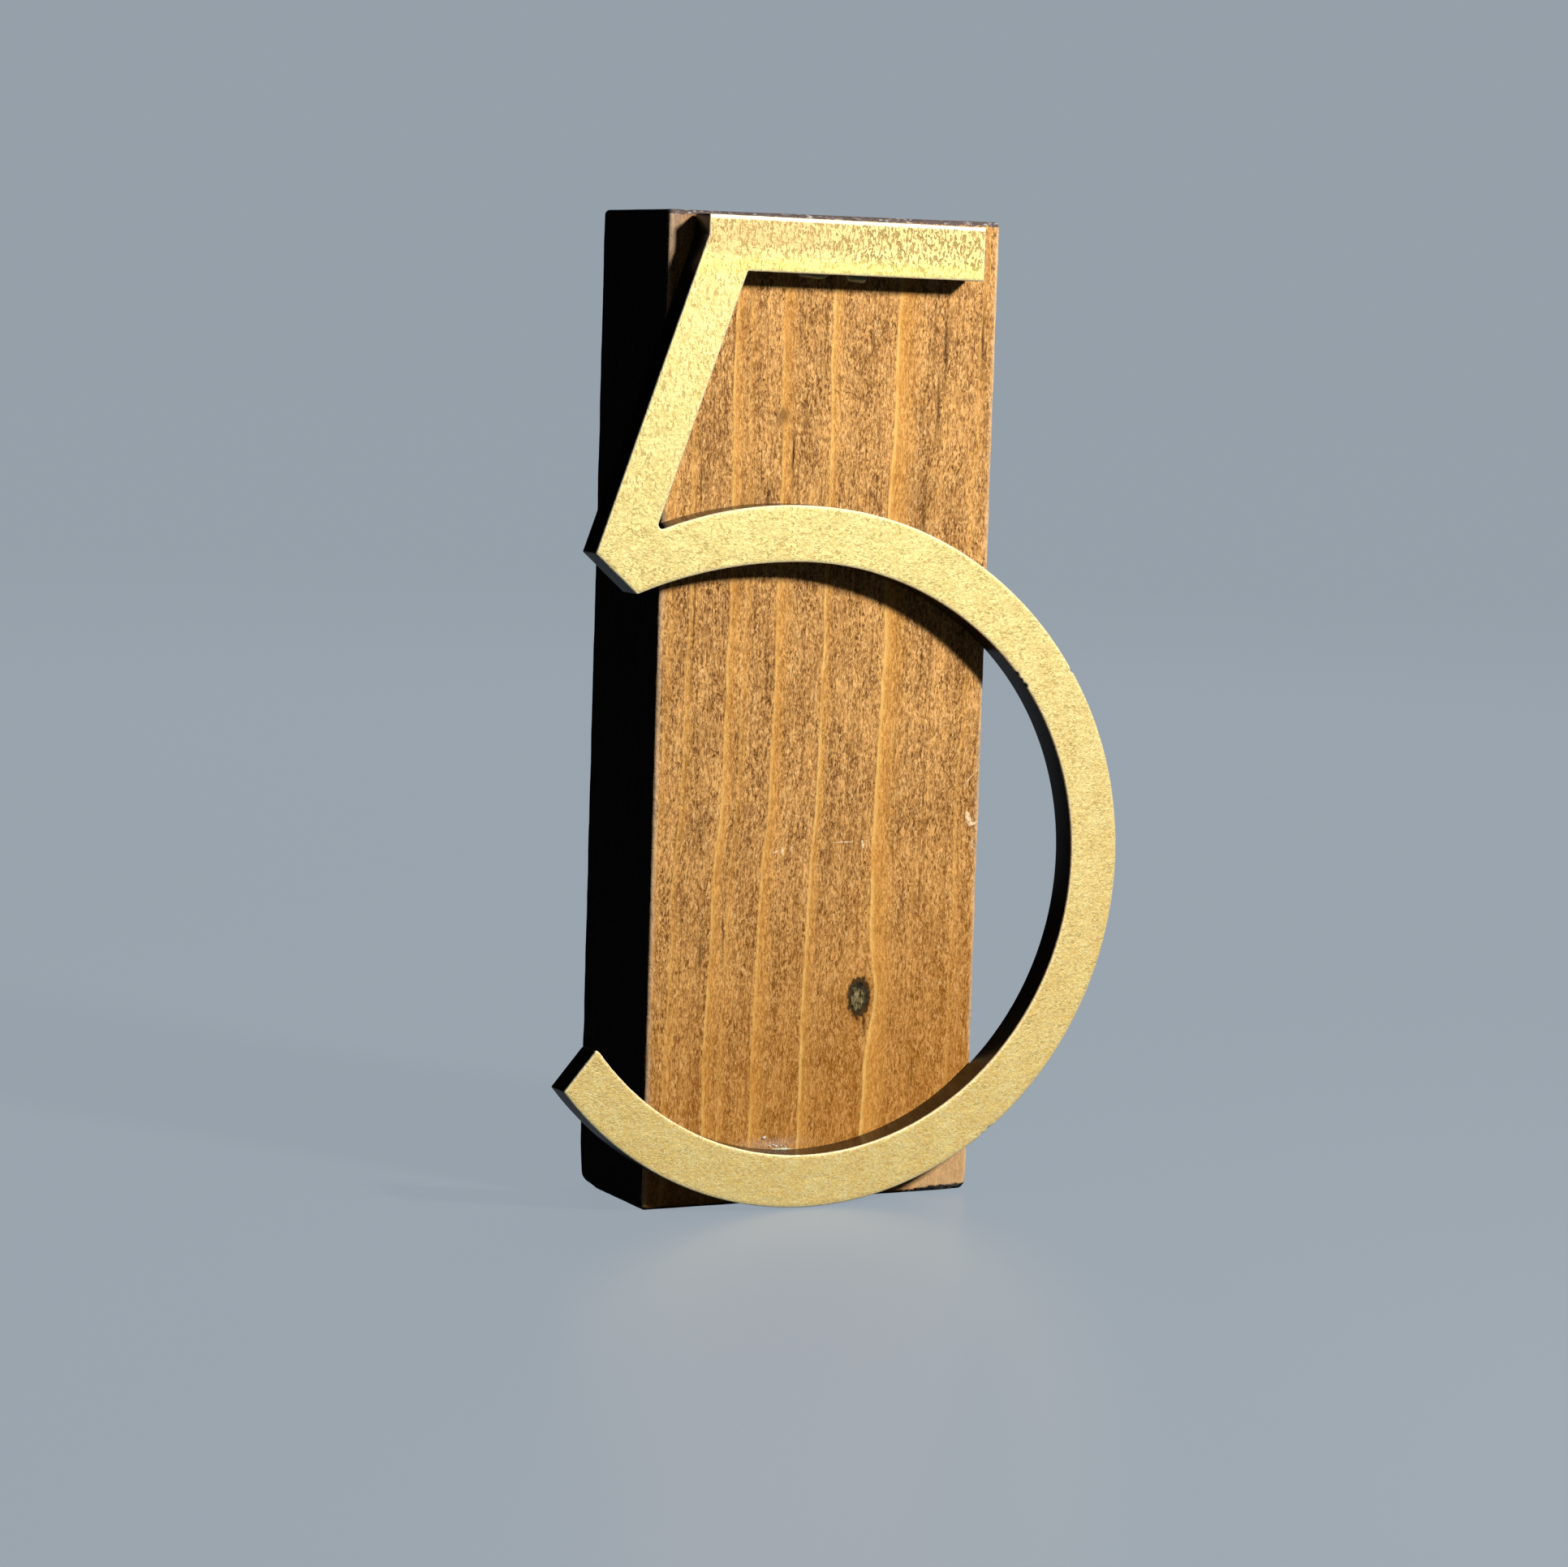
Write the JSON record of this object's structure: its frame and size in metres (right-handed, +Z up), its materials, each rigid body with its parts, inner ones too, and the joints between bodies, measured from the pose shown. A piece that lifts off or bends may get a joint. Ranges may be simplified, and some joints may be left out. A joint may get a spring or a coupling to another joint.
{
  "type": "table number holder",
  "caption": "Upright stained wood block with black sides that carries a large gold-faced numeral, glued flat to its front and overhanging both edges.",
  "frame": {"origin": "centre of the wood block's base, on the surface that the holder stands on", "axes": "+Z up along the block, -Y towards the reader, so the numeral is on the -Y side; +X to the reader's right"},
  "size_m": [0.1481, 0.0471, 0.239],
  "materials": {
    "stained_wood": "penetrating brown stain on the front, matt black paint on the sides, top and back, sanded edges",
    "numeral_edge": "polished black, as the cut edge of an acrylic sheet",
    "gold_face": "pale metallic gold film with a fine crinkled grain",
    "clear_glue": "cloudy, slightly green translucent glue"
  },
  "bodies": {
    "root": {"wood_block": "stained_wood", "numeral_core": "numeral_edge", "numeral_face": "gold_face", "glue_bar_left": "clear_glue", "glue_bar_middle": "clear_glue", "glue_bar_right": "clear_glue", "glue_stem": "clear_glue", "glue_crown_left": "clear_glue", "glue_crown_middle": "clear_glue", "glue_crown_right": "clear_glue", "glue_foot_left": "clear_glue", "glue_foot_middle": "clear_glue", "glue_foot_right": "clear_glue"}
  },
  "joints": []
}
